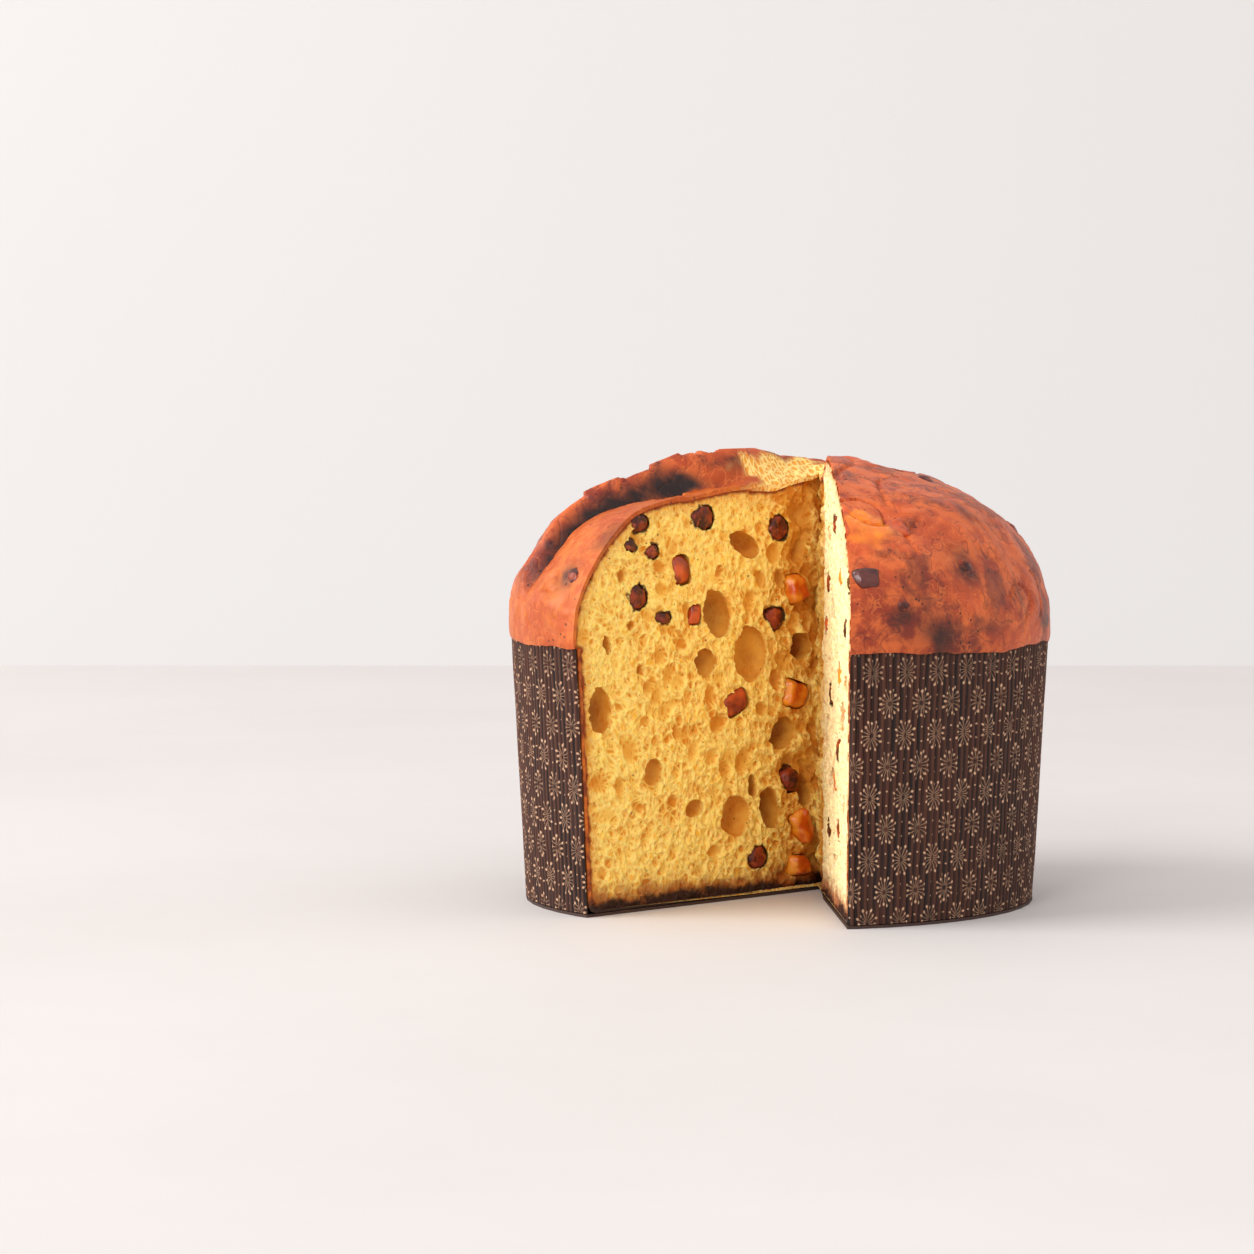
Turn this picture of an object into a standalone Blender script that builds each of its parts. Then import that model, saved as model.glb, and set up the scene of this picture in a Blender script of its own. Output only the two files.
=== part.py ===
"""A panettone in its pleated paper case, with one wedge cut out. Metres, +Z up.

The case stands on Z = 0, and the middle of the whole loaf's bounding box is over the origin.
The loaf is a turned shape with folds in its crust. A knife-shaped cutter takes the wedge out of
the bread and the paper. Air holes and the beds of the fruit are then cut from the bread.
"""

import math
import random

import bmesh
import bpy
from mathutils import Euler, Matrix, Vector, noise

MM = 0.001

# Driving dimensions of the loaf
RIM_RADIUS = 95.0 * MM
BASE_RADIUS = 90.0 * MM
CASE_HEIGHT = 93.0 * MM
DOME_HEIGHT = 65.0 * MM
AXIS_Y = -1.25 * MM

# The paper case
PAPER = 0.35 * MM
FLUTE_DEPTH = 0.45 * MM
FLUTES = 116
BASE_THICKNESS = 1.0 * MM
TOUCH_GAP = 0.3 * MM
FLAT_SAG = 0.3 * MM
WALL_TOP = CASE_HEIGHT - 0.35 * MM

# The wedge, in plan from the loaf's axis
APEX = Vector((14.0, 16.0)) * MM
LEFT_END = Vector((-71.6, -62.4)) * MM
RIGHT_END = Vector((20.2, -92.8)) * MM
LEFT_WAY = (LEFT_END - APEX).normalized()
RIGHT_WAY = (RIGHT_END - APEX).normalized()
INTO_LEFT = Vector((LEFT_WAY.y, -LEFT_WAY.x))
INTO_RIGHT = Vector((-RIGHT_WAY.y, RIGHT_WAY.x))
LEFT_TORN = 12.0 * MM
RIGHT_TORN = 26.0 * MM
REACH = 190.0 * MM

# Detail
TURN_STEPS = 48
TOP = CASE_HEIGHT + DOME_HEIGHT

# The dome's outline: radius and height above the rim, in millimetres
DOME_OUTLINE = (
    (95.6, 0.2), (96.0, 6.0), (95.6, 14.0), (92.6, 23.0), (87.0, 32.0), (79.5, 40.5),
    (70.0, 47.8), (59.0, 53.2), (47.0, 57.6), (33.0, 61.4), (17.0, 64.0),
)

# How far the lobe in front of the score lies below the dome: way along the left face, depth
SUNKEN_LOBE = (
    (-16.0, 0.0), (0.0, 8.0), (20.0, 12.5), (35.0, 11.5), (51.0, 10.6), (66.0, 9.6), (79.0, 6.5),
    (92.0, 4.0), (125.0, 2.5),
)

# Fruit on a cut face: way along the face from the apex, height, length, height across, tilt
LEFT_RAISINS = (
    (85.5, 134.5, 10.0, 6.0, 10), (55.5, 135.5, 13.0, 9.0, -8), (18.2, 130.5, 10.5, 9.0, 20),
    (90.0, 127.0, 6.0, 5.0, 0), (80.0, 124.5, 7.0, 6.0, 30), (87.0, 109.0, 10.5, 9.0, 15),
    (74.5, 101.5, 8.0, 4.0, 0), (19.8, 99.0, 9.5, 8.0, -30), (11.6, 40.5, 11.0, 8.0, -35),
    (28.4, 14.0, 11.0, 8.0, 10),
)
LEFT_ORANGE = (
    (65.7, 117.5, 6.5, 11.0, 10), (59.1, 101.5, 5.0, 8.0, -10), (9.5, 109.0, 9.0, 10.0, 15),
    (39.2, 70.0, 12.0, 8.0, 20), (10.1, 71.5, 11.0, 9.0, -15), (6.0, 24.0, 8.0, 11.0, 25),
    (7.5, 9.5, 10.0, 7.0, 0),
)
RIGHT_RAISINS = (
    (39.0, 113.0, 10.0, 7.5, 20), (71.0, 57.5, 11.0, 8.0, -15), (58.0, 134.0, 11.0, 8.0, 10),
    (46.0, 74.0, 10.0, 7.0, 40), (93.0, 100.0, 9.0, 7.0, -20), (42.0, 27.0, 10.0, 8.0, 5),
)
RIGHT_ORANGE = (
    (31.5, 97.0, 7.0, 7.0, 15), (59.0, 45.0, 9.0, 8.0, -20), (72.0, 30.5, 9.5, 9.0, 10),
    (74.5, 84.0, 9.0, 8.0, 35), (76.0, 117.0, 8.0, 7.0, 0),
)
# Fruit in the crust: bearing in degrees, distance from the axis, length, thickness
CRUST_RAISINS = (
    (-46.5, 89.6, 11.0, 8.5), (-66.0, 94.6, 8.0, 7.0), (-144.0, 91.0, 10.0, 8.0),
    (6.0, 83.0, 11.0, 8.0), (38.0, 62.0, 10.0, 8.0), (71.0, 90.0, 11.0, 8.0),
    (112.0, 70.0, 10.0, 8.0), (150.0, 88.0, 11.0, 8.0), (-14.0, 52.0, 10.0, 8.0),
)
CRUST_ORANGE = (
    (-73.8, 91.4, 9.5, 9.5), (-60.0, 76.0, 9.0, 8.0), (20.0, 93.0, 9.0, 8.5), (128.0, 92.0, 9.0, 8.0),
)
# Air holes on a cut face: way along from the apex, height, length, height across
LEFT_HOLES = (
    (38.2, 125.0, 17.0, 7.5), (50.2, 102.0, 13.0, 16.0), (31.0, 87.0, 17.0, 16.0),
    (54.2, 85.0, 12.0, 10.0), (104.5, 71.0, 11.0, 16.0), (39.6, 29.6, 16.0, 15.0),
    (23.0, 31.0, 9.0, 14.0), (101.0, 93.0, 6.0, 9.0), (69.3, 74.0, 12.0, 9.0),
    (16.2, 57.5, 13.0, 10.0), (7.0, 88.5, 9.0, 10.0), (79.5, 48.0, 12.0, 10.0),
)
RIGHT_HOLES = (
    (34.5, 60.0, 9.0, 14.0), (51.0, 106.0, 12.0, 9.0), (84.0, 70.0, 10.0, 11.0),
    (48.0, 45.0, 8.0, 10.0), (91.0, 41.0, 8.0, 7.0), (59.0, 17.0, 10.0, 7.0),
)

def clear_scene():
    for thing in list(bpy.data.objects):
        bpy.data.objects.remove(thing)


def new_collection(name):
    collection = bpy.data.collections.new(name)
    bpy.context.scene.collection.children.link(collection)
    return collection


def new_material(name, colour, roughness):
    material = bpy.data.materials.new(name)
    material.use_nodes = True
    shader = material.node_tree.nodes["Principled BSDF"]
    shader.inputs["Base Color"].default_value = (*colour, 1.0)
    shader.inputs["Roughness"].default_value = roughness
    shader.inputs["Metallic"].default_value = 0.0
    return material


def new_object(name, bm, collection, material=None, smooth=True):
    """Turns a bmesh into an object at the loaf's axis."""
    mesh = bpy.data.meshes.new(name)
    bmesh.ops.recalc_face_normals(bm, faces=bm.faces)
    bm.to_mesh(mesh)
    bm.free()
    if smooth:
        mesh.shade_smooth()
        mesh.set_sharp_from_angle(angle=math.radians(35))
    if material:
        mesh.materials.append(material)
    thing = bpy.data.objects.new(name, mesh)
    collection.objects.link(thing)
    return thing


def cut(thing, cutter):
    """Takes the cutter's shape out of the thing with a live Boolean."""
    boolean = thing.modifiers.new("cut_" + cutter.name, "BOOLEAN")
    boolean.operation = "DIFFERENCE"
    boolean.solver = "EXACT"
    boolean.object = cutter


def as_cutter(thing):
    thing.hide_render = True
    thing.display_type = "WIRE"
    return thing


def about_axis(point):
    """A point measured from the loaf's axis, moved to where that axis stands."""
    return Vector((point[0], point[1] + AXIS_Y, point[2]))


def face_point(way, along, height):
    """A point on a cut face, in millimetres along the face from the apex and above the floor."""
    flat = APEX + way * along * MM
    return about_axis((flat.x, flat.y, height * MM))


def dome_height(radius):
    """Height of the smooth dome at this distance from the axis."""
    outline = [(r * MM, CASE_HEIGHT + z * MM) for r, z in DOME_OUTLINE] + [(0.0, TOP)]
    for (r0, z0), (r1, z1) in zip(outline[1:], outline[2:]):
        if r1 <= radius <= r0:
            return z0 + (z1 - z0) * (r0 - radius) / (r0 - r1)
    return outline[1][1]


def bump(value, centre, width):
    return math.exp(-(((value - centre) / width) ** 2))


def eased(value, low, high):
    """0 below the low value and 1 above the high one, with a smooth rise between."""
    share = min(1.0, max(0.0, (value - low) / (high - low)))
    return share * share * (3.0 - 2.0 * share)


def lobe_depth(along):
    """How far the lobe has sunk at this way along the left face, in millimetres."""
    for (u0, d0), (u1, d1) in zip(SUNKEN_LOBE, SUNKEN_LOBE[1:]):
        if u0 <= along <= u1:
            return d0 + (d1 - d0) * (along - u0) / (u1 - u0)
    return 0.0


def crust_relief(x, y, z):
    """How far the crust stands out from the smooth dome here, in metres.

    A score runs behind the left cut face. The lobe in front of it has sunk, and the crust behind
    it stands up as an ear. Slow folds and one sunken crater cover the rest.
    """
    away = Vector((x, y)) - APEX
    along = away.dot(LEFT_WAY) / MM
    behind = away.dot(INTO_LEFT) / MM
    score = max(0.37 * along - 4.0, 8.0)
    in_front = 1.0 - eased(behind, score - 4.0, score + 4.0)
    lobe = in_front * eased(behind, -25.0, -5.0)
    ear = 1.6 * bump(behind, score + 6.0, 4.0) * eased(along, 5.0, 25.0)
    fold = 1.9 * noise.noise(Vector((x, y, z)) * 38.0) + 0.8 * noise.noise(Vector((x, y, z)) * 95.0)
    crater = -3.0 * bump(x / MM, 36.0, 11.0) * bump(y / MM, -66.0, 9.0)
    return (ear + crater + fold * (1.0 - 0.6 * lobe) - lobe_depth(along) * lobe) * MM


def shape_crust(bm):
    """Lifts and sinks the dome by the crust's relief, easing in above the rim."""
    for vertex in bm.verts:
        above = vertex.co.z - CASE_HEIGHT
        if above < 0.0:
            continue
        x, y, z = vertex.co
        ease = min(1.0, above / (14.0 * MM))
        outward = Vector((x, y, above * 1.3)).normalized()
        lift = crust_relief(x, y, z)
        lift = min(lift, 1.2 * MM + (TOP - z) * 0.9) * ease
        vertex.co += outward * lift
        bulge = math.hypot(vertex.co.x, vertex.co.y)
        widest = RIM_RADIUS + 1.0 * MM
        if bulge > widest:
            vertex.co.x *= widest / bulge
            vertex.co.y *= widest / bulge


def make_loaf(collection, material):
    """The whole loaf: a profile turned about the axis, from the top down to the base."""
    inset = FLUTE_DEPTH + PAPER / 2.0 + TOUCH_GAP + FLAT_SAG
    floor = BASE_THICKNESS + TOUCH_GAP
    profile = [(0.0, TOP)] + [(r * MM, CASE_HEIGHT + z * MM) for r, z in reversed(DOME_OUTLINE)]
    profile += [(RIM_RADIUS - inset, CASE_HEIGHT)]
    profile += [(BASE_RADIUS - inset, floor + 2.5 * MM)]
    profile += [(BASE_RADIUS - inset - 3.0 * MM, floor)]
    profile += [(0.0, floor)]
    bm = bmesh.new()
    points = [bm.verts.new((r, 0.0, z)) for r, z in profile]
    for upper, lower in zip(points, points[1:]):
        bm.edges.new((upper, lower))
    bmesh.ops.spin(
        bm, geom=list(bm.verts) + list(bm.edges), axis=(0, 0, 1), cent=(0, 0, 0),
        angle=math.tau, steps=TURN_STEPS, use_merge=True,
    )
    bmesh.ops.remove_doubles(bm, verts=bm.verts, dist=0.00002)
    shape_crust(bm)
    loaf = new_object("bread", bm, collection, material)
    loaf.location.y = AXIS_Y
    return loaf


def torn_apex(level):
    """Where the wedge's inner corner lies at this height: the crumb tore unevenly there."""
    sway = noise.noise(Vector((level * 55.0, 3.7, 0.0)))
    return APEX + Vector((1.5 + 3.5 * sway, 2.5 + 3.0 * sway)) * MM


def make_knife(collection):
    """The removed wedge as a prism, with two flat faces that meet in a torn corner."""
    levels = [-10.0 * MM + step * 15.0 * MM for step in range(13)]
    bm = bmesh.new()
    rings = []
    for level in levels:
        corner = torn_apex(level)
        plan = (
            APEX + LEFT_WAY * REACH,
            APEX + LEFT_WAY * LEFT_TORN,
            corner,
            APEX + RIGHT_WAY * RIGHT_TORN,
            APEX + RIGHT_WAY * REACH,
        )
        rings.append([bm.verts.new((p.x, p.y + AXIS_Y, level)) for p in plan])
    for lower, upper in zip(rings, rings[1:]):
        for i in range(len(lower)):
            j = (i + 1) % len(lower)
            bm.faces.new((lower[i], lower[j], upper[j], upper[i]))
    bm.faces.new(rings[0])
    bm.faces.new(rings[-1])
    return as_cutter(new_object("knife", bm, collection, smooth=False))


def make_case_wall(collection, material):
    """The pleated paper wall: a zigzag band that widens towards the rim, given its thickness."""
    bm = bmesh.new()
    rings = []
    foot = BASE_THICKNESS + TOUCH_GAP
    for level in (foot, WALL_TOP):
        share = level / CASE_HEIGHT
        middle = BASE_RADIUS + (RIM_RADIUS - BASE_RADIUS) * share - FLUTE_DEPTH / 2.0
        ring = []
        for i in range(FLUTES * 2):
            angle = math.tau * i / (FLUTES * 2)
            radius = middle + (FLUTE_DEPTH / 2.0 if i % 2 else -FLUTE_DEPTH / 2.0)
            ring.append(bm.verts.new((radius * math.cos(angle), radius * math.sin(angle), level)))
        rings.append(ring)
    for i in range(FLUTES * 2):
        j = (i + 1) % (FLUTES * 2)
        bm.faces.new((rings[0][i], rings[0][j], rings[1][j], rings[1][i]))
    wall = new_object("case_wall", bm, collection, material)
    wall.location.y = AXIS_Y
    thicken = wall.modifiers.new("paper", "SOLIDIFY")
    thicken.thickness = PAPER
    thicken.offset = 0.0
    return wall


def make_case_base(collection, material):
    """The round foot of the case, under the bread and the wall."""
    bm = bmesh.new()
    bmesh.ops.create_cone(
        bm, cap_ends=True, segments=TURN_STEPS, radius1=BASE_RADIUS, radius2=BASE_RADIUS,
        depth=BASE_THICKNESS,
    )
    bmesh.ops.translate(bm, verts=bm.verts, vec=(0.0, 0.0, BASE_THICKNESS / 2.0))
    base = new_object("case_base", bm, collection, material)
    base.location.y = AXIS_Y
    return base


def grown(bm, distance):
    """A copy of the bmesh with its surface moved out by a distance."""
    copy = bm.copy()
    copy.normal_update()
    moves = [(vertex, vertex.normal.copy()) for vertex in copy.verts]
    for vertex, normal in moves:
        vertex.co += normal * distance * 1.25
    return copy


def lumpy(bm, amount, scale, seed):
    """Moves each vertex in or out by smooth noise."""
    bm.normal_update()
    offset = Vector((seed * 1.7, seed * 0.9, seed * 2.3))
    moves = [(v, v.normal * noise.noise(v.co * scale + offset) * amount) for v in bm.verts]
    for vertex, move in moves:
        vertex.co += move


def raisin_shape(size, seed):
    """A plumped raisin: a round body that thins a little to one end, with soft wrinkles."""
    bm = bmesh.new()
    bmesh.ops.create_uvsphere(bm, u_segments=7, v_segments=5, radius=0.5)
    for vertex in bm.verts:
        taper = 1.0 - 0.16 * vertex.co.x
        vertex.co = Vector((vertex.co.x * size[0], vertex.co.y * size[1] * taper, vertex.co.z * size[2] * taper))
    lumpy(bm, 1.3 * MM, 260.0, seed)
    return bm


def orange_shape(size, seed):
    """A cube of candied orange peel with softened edges and skewed faces."""
    bm = bmesh.new()
    bmesh.ops.create_cube(bm, size=1.0)
    skew = random.Random(seed)
    for vertex in bm.verts:
        wander = Vector((skew.uniform(-0.12, 0.12), skew.uniform(-0.12, 0.12), skew.uniform(-0.12, 0.12)))
        point = vertex.co + wander
        vertex.co = Vector((point.x * size[0], point.y * size[1], point.z * size[2]))
    bmesh.ops.bevel(
        bm, geom=list(bm.edges), offset=0.16 * min(size), offset_type="OFFSET",
        segments=1, profile=0.5, affect="EDGES",
    )
    return bm


def place(bm, turn, point):
    bmesh.ops.transform(bm, matrix=Matrix.Translation(point) @ turn.to_4x4(), verts=bm.verts)


def add_fruit(name, bm, bread, looks, homes, trimmers):
    """Adds one piece of fruit and cuts its bed from the bread, with a gap all round."""
    parts, cutters = homes
    bmesh.ops.triangulate(bm, faces=bm.faces)
    bed = as_cutter(new_object(name + "_bed", grown(bm, TOUCH_GAP), cutters, smooth=False))
    cut(bread, bed)
    fruit = new_object(name, bm, parts, looks)
    for trimmer in trimmers:
        cut(fruit, trimmer)
    return fruit


def face_turn(way, tilt):
    """Turns a piece so that its length lies along the cut face, tilted by some degrees in it."""
    heading = math.atan2(way.y, way.x)
    return (Euler((0, 0, heading)).to_matrix()) @ (Euler((0, math.radians(tilt), 0)).to_matrix())


def fill_face(prefix, rows, way, inward, shape, bread, looks, homes, knife, first):
    """Sets the fruit of one cut face, sliced flush by the knife or whole where the crumb tore."""
    for number, (along, height, length, across, tilt) in enumerate(rows, first):
        depth = min(length, across) * 1.05
        seed = number + len(prefix) * 13
        bm = shape((length * MM, depth * MM, across * MM), seed)
        torn = along * MM < LEFT_TORN
        behind = depth * 0.16 + (1.5 if torn else 0.0)
        middle = face_point(way, along, height) + inward * (behind * MM)
        place(bm, face_turn(way, tilt), middle)
        add_fruit(f"{prefix}_{number:02d}", bm, bread, looks, homes, [] if torn else [knife])
    return first + len(rows)


def fill_crust(prefix, rows, shape, bread, looks, homes, knife, first):
    """Sets the fruit that shows in the crust, sunk nearly flush and sliced where the knife passed."""
    for number, (bearing, radius, length, thickness) in enumerate(rows, first):
        angle = math.radians(bearing)
        flat = Vector((math.cos(angle), math.sin(angle), 0.0)) * radius * MM
        height = dome_height(radius * MM)
        slope = (dome_height((radius - 3.0) * MM) - height) / (3.0 * MM)
        normal = Vector((math.cos(angle) * slope, math.sin(angle) * slope, 1.0)).normalized()
        lift = crust_relief(flat.x, flat.y, height)
        sink = 0.32 * thickness * MM
        seat = about_axis(flat + Vector((0.0, 0.0, height))) + normal * (min(lift, 1.2 * MM) - sink)
        turn = Vector((0, 0, 1)).rotation_difference(normal).to_matrix()
        spin = Euler((0, 0, math.radians(bearing * 7.0))).to_matrix()
        bm = shape((length * MM, length * 0.8 * MM, thickness * MM), number + 71)
        place(bm, turn @ spin, seat)
        add_fruit(f"{prefix}_{number:02d}", bm, bread, looks, homes, [knife])


def pierce_face(name, rows, way, inward, bread, collection):
    """Cuts the larger air holes of one face, each a lumpy hollow that opens at the face."""
    for number, (along, height, length, across) in enumerate(rows, 1):
        depth = (length + across) * 0.42
        bm = bmesh.new()
        bmesh.ops.create_uvsphere(bm, u_segments=8, v_segments=5, radius=0.5)
        bmesh.ops.scale(bm, vec=(length * MM, depth * MM, across * MM), verts=bm.verts)
        lumpy(bm, 2.0 * MM, 140.0, number * 3)
        middle = face_point(way, along, height) + inward * (depth * 0.12 * MM)
        place(bm, face_turn(way, number * 23.0), middle)
        cut(bread, as_cutter(new_object(f"{name}_{number:02d}", bm, collection, smooth=False)))


def main():
    clear_scene()
    parts = new_collection("panettone")
    cutters = new_collection("panettone_cutters")
    homes = (parts, cutters)

    crumb = new_material("bread", (0.80, 0.42, 0.11), 0.8)
    paper = new_material("case_paper", (0.055, 0.027, 0.018), 0.6)
    raisin = new_material("raisin", (0.045, 0.016, 0.012), 0.35)
    orange = new_material("candied_orange", (0.72, 0.22, 0.03), 0.3)

    knife = make_knife(cutters)
    bread = make_loaf(parts, crumb)
    cut(bread, knife)
    for paper_piece in (make_case_wall(parts, paper), make_case_base(parts, paper)):
        cut(paper_piece, knife)

    into_left = INTO_LEFT.to_3d()
    into_right = INTO_RIGHT.to_3d()
    pierce_face("hole_left", LEFT_HOLES, LEFT_WAY, into_left, bread, cutters)
    pierce_face("hole_right", RIGHT_HOLES, RIGHT_WAY, into_right, bread, cutters)

    left = (LEFT_WAY, into_left)
    right = (RIGHT_WAY, into_right)
    raisin_set = (raisin_shape, bread, raisin, homes)
    orange_set = (orange_shape, bread, orange, homes)
    after = fill_face("raisin", LEFT_RAISINS, *left, *raisin_set, knife, 1)
    after = fill_face("raisin", RIGHT_RAISINS, *right, *raisin_set, knife, after)
    fill_crust("raisin", CRUST_RAISINS, *raisin_set, knife, after)
    after = fill_face("orange", LEFT_ORANGE, *left, *orange_set, knife, 1)
    after = fill_face("orange", RIGHT_ORANGE, *right, *orange_set, knife, after)
    fill_crust("orange", CRUST_ORANGE, *orange_set, knife, after)


main()
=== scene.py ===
import math
import random

import bpy
import numpy as np
from mathutils import Euler, Matrix, Vector, noise
from mathutils.bvhtree import BVHTree


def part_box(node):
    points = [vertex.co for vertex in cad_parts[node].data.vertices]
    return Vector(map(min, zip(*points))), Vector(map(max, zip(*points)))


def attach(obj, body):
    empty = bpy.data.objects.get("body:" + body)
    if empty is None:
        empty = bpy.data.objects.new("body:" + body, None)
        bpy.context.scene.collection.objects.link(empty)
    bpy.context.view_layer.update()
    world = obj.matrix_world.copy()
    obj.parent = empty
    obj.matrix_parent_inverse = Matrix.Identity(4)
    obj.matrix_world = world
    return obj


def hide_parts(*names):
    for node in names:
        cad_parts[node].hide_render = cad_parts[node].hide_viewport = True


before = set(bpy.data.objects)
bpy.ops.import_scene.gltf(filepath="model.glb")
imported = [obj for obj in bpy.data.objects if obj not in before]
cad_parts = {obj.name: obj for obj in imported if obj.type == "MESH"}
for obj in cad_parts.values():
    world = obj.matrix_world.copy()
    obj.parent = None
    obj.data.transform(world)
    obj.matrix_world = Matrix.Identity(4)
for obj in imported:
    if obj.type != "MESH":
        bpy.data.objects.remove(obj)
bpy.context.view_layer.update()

MM = 0.001

# The loaf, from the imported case: its axis, radii and heights
_, BASE_HIGH = (Vector(corner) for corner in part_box("case_base"))
_, WALL_HIGH = (Vector(corner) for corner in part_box("case_wall"))
BASE_RADIUS = 90.0 * MM
RIM_RADIUS = 95.0 * MM
AXIS = Vector((0.0, BASE_HIGH.y - BASE_RADIUS, 0.0))
CASE_HEIGHT = WALL_HIGH.z + 0.35 * MM
DOME_HEIGHT = 65.0 * MM
TOP = CASE_HEIGHT + DOME_HEIGHT
FLOOR = BASE_HIGH.z + 0.3 * MM

# The paper: its thickness and flutes, then its print
PAPER = 0.3 * MM
FLUTE_DEPTH = 0.85 * MM
FLUTES = 236
STEPS_IN_A_FLUTE = 8
WALL_ROWS = 24
MOTIFS_ROUND = 47
RAYS = 16
ROW = 10.6 * MM

# The wedge: its inner corner and the way out along each face, in plan
APEX = Vector((14.0 * MM, 16.0 * MM + AXIS.y, 0.0))
LEFT_WAY = Vector((-85.6, -78.4, 0.0)).normalized()
RIGHT_WAY = Vector((6.2, -108.8, 0.0)).normalized()
INTO_LEFT = Vector((LEFT_WAY.y, -LEFT_WAY.x, 0.0))
INTO_RIGHT = Vector((-RIGHT_WAY.y, RIGHT_WAY.x, 0.0))

# How far the crumb of each cut face reaches, and the seed of its pores
LEFT_LENGTH, LEFT_SEED = 122.0 * MM, 5
RIGHT_LENGTH, RIGHT_SEED = 116.0 * MM, 17

CRUST = 1.3 * MM
SLAB = 24.0 * MM
STEP = 0.46 * MM
MERGE = 0.01 * MM

# The dome's outline from rim to top: radius and height above the rim, in millimetres
DOME_OUTLINE = (
    (95.3, 0.0), (95.8, 2.0), (96.0, 7.0), (95.5, 14.0), (92.6, 23.0), (87.0, 32.0), (79.5, 40.5),
    (70.0, 47.8), (59.0, 53.2), (47.0, 57.6), (33.0, 61.4), (17.0, 64.0), (0.0, 65.0),
)

# How far the lobe in front of the score has sunk: way along the left face, depth
SUNKEN_LOBE = (
    (-16.0, 0.0, 20.0, 35.0, 51.0, 66.0, 79.0, 92.0, 125.0),
    (0.0, 8.0, 12.5, 11.5, 10.6, 9.6, 6.5, 4.0, 2.5),
)

# Larger air holes of each face: way along from the apex, height, length, height across, depth, tilt
LEFT_CAVES = (
    (35.6, 125.7, 16.0, 8.5, 8.0, -28), (48.9, 101.6, 13.0, 18.5, 10.0, 25),
    (32.5, 86.5, 17.0, 20.0, 7.0, 10), (54.4, 85.0, 10.0, 10.5, 8.0, 30),
    (104.5, 71.0, 10.0, 17.0, 9.0, 5), (39.6, 29.6, 15.0, 15.0, 7.0, 0),
    (23.0, 31.0, 10.0, 16.0, 12.0, 15), (16.2, 57.5, 14.0, 11.0, 12.0, 30),
    (7.0, 88.5, 10.0, 11.0, 11.0, 60), (79.5, 48.0, 10.0, 8.0, 6.0, 80),
    (101.0, 93.0, 3.5, 7.5, 5.0, 10), (31.5, 39.5, 4.5, 9.0, 9.0, 10),
    (60.0, 34.0, 9.0, 7.0, 5.0, 15), (5.0, 36.0, 8.0, 12.0, 9.0, 0),
)
RIGHT_CAVES = (
    (34.5, 60.0, 9.0, 14.0, 9.0, 0), (51.0, 106.0, 12.0, 9.0, 7.0, 20),
    (84.0, 70.0, 10.0, 11.0, 7.0, 40), (48.0, 45.0, 8.0, 10.0, 7.0, 65),
    (91.0, 41.0, 8.0, 7.0, 5.0, 90), (59.0, 17.0, 10.0, 7.0, 6.0, 10),
    (66.0, 95.0, 8.0, 6.0, 5.0, 35), (40.0, 130.0, 9.0, 6.0, 5.0, 55),
    (95.0, 82.0, 6.0, 9.0, 5.0, 80),
)

# Middling pores of the left face: way along, height, length, height across, depth, tilt
LEFT_BOWLS = (
    (76.1, 119.1, 7.2, 4.8, 2.2, -20), (63.1, 103.2, 4.8, 7.4, 2.4, 20),
    (90.0, 99.3, 2.9, 3.7, 3.4, 0), (85.7, 83.8, 2.8, 3.4, 3.4, 0),
    (27.7, 113.0, 4.8, 6.5, 3.4, 15), (32.2, 107.1, 5.6, 4.6, 2.4, -15),
    (17.6, 113.0, 4.6, 7.4, 3.4, 25), (7.3, 122.4, 4.8, 9.0, 4.0, -25),
    (81.4, 77.7, 7.4, 5.6, 2.0, 30), (76.1, 88.4, 6.4, 8.0, 2.0, 20),
    (21.0, 122.0, 7.6, 7.6, 2.6, 0), (94.2, 116.6, 4.0, 5.0, 3.4, 10),
    (108.9, 116.4, 2.8, 3.2, 3.6, 0), (63.1, 133.7, 4.4, 4.0, 1.6, 0),
    (47.8, 116.5, 4.4, 4.8, 2.2, 0), (75.0, 111.2, 8.0, 5.0, 2.0, -25),
    (48.0, 63.0, 9.0, 7.0, 2.4, 25), (36.0, 49.0, 7.5, 11.0, 2.4, -25),
    (45.0, 47.0, 6.5, 8.0, 2.2, 20), (52.0, 73.0, 6.0, 8.0, 2.2, 0),
    (90.0, 56.0, 8.0, 10.0, 2.0, 25), (68.0, 61.0, 5.0, 7.0, 2.0, 20),
    (66.0, 92.0, 7.0, 5.0, 2.0, 35), (83.0, 66.0, 5.0, 4.0, 2.0, 0),
    (20.0, 77.0, 6.0, 8.0, 3.0, 20), (27.0, 67.0, 7.0, 5.0, 2.6, -20),
    (70.0, 37.0, 6.0, 5.0, 2.2, 0), (50.0, 18.0, 7.0, 5.0, 2.2, 10),
    (95.0, 44.0, 5.0, 8.0, 2.2, 10), (24.0, 101.0, 5.0, 6.0, 2.6, 40),
)

# The nodes of the fruit: how their names start, the candied pieces that are red, the browned one
FRUIT = ("raisin", "orange")
RED_PIECES = (1, 2, 4, 8, 10, 14)
BROWNED_CUBE = "orange_13"

# The big charred blotches: a point on the crust in millimetres and a reach
SCORCHES = (
    (50.0, -80.0, 97.0, 9.0), (61.0, -65.0, 121.0, 7.0), (-76.0, -50.0, 117.0, 5.0),
    (38.0, -86.0, 104.0, 5.0), (60.0, -40.0, 136.0, 6.0), (-60.0, 62.0, 116.0, 9.0),
    (70.0, 55.0, 112.0, 8.0), (10.0, 88.0, 118.0, 8.0),
)


# The studio
LAMP_AIM = Vector((0.0, 0.0, 0.06))
CAMERA_DOWN = 3.78


# ---------------------------------------------------------------- modelling helpers

def deselect():
    bpy.ops.object.select_all(action="DESELECT")


def pick(thing):
    """Makes the object the active one and the only one selected."""
    deselect()
    thing.select_set(True)
    bpy.context.view_layer.objects.active = thing


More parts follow.
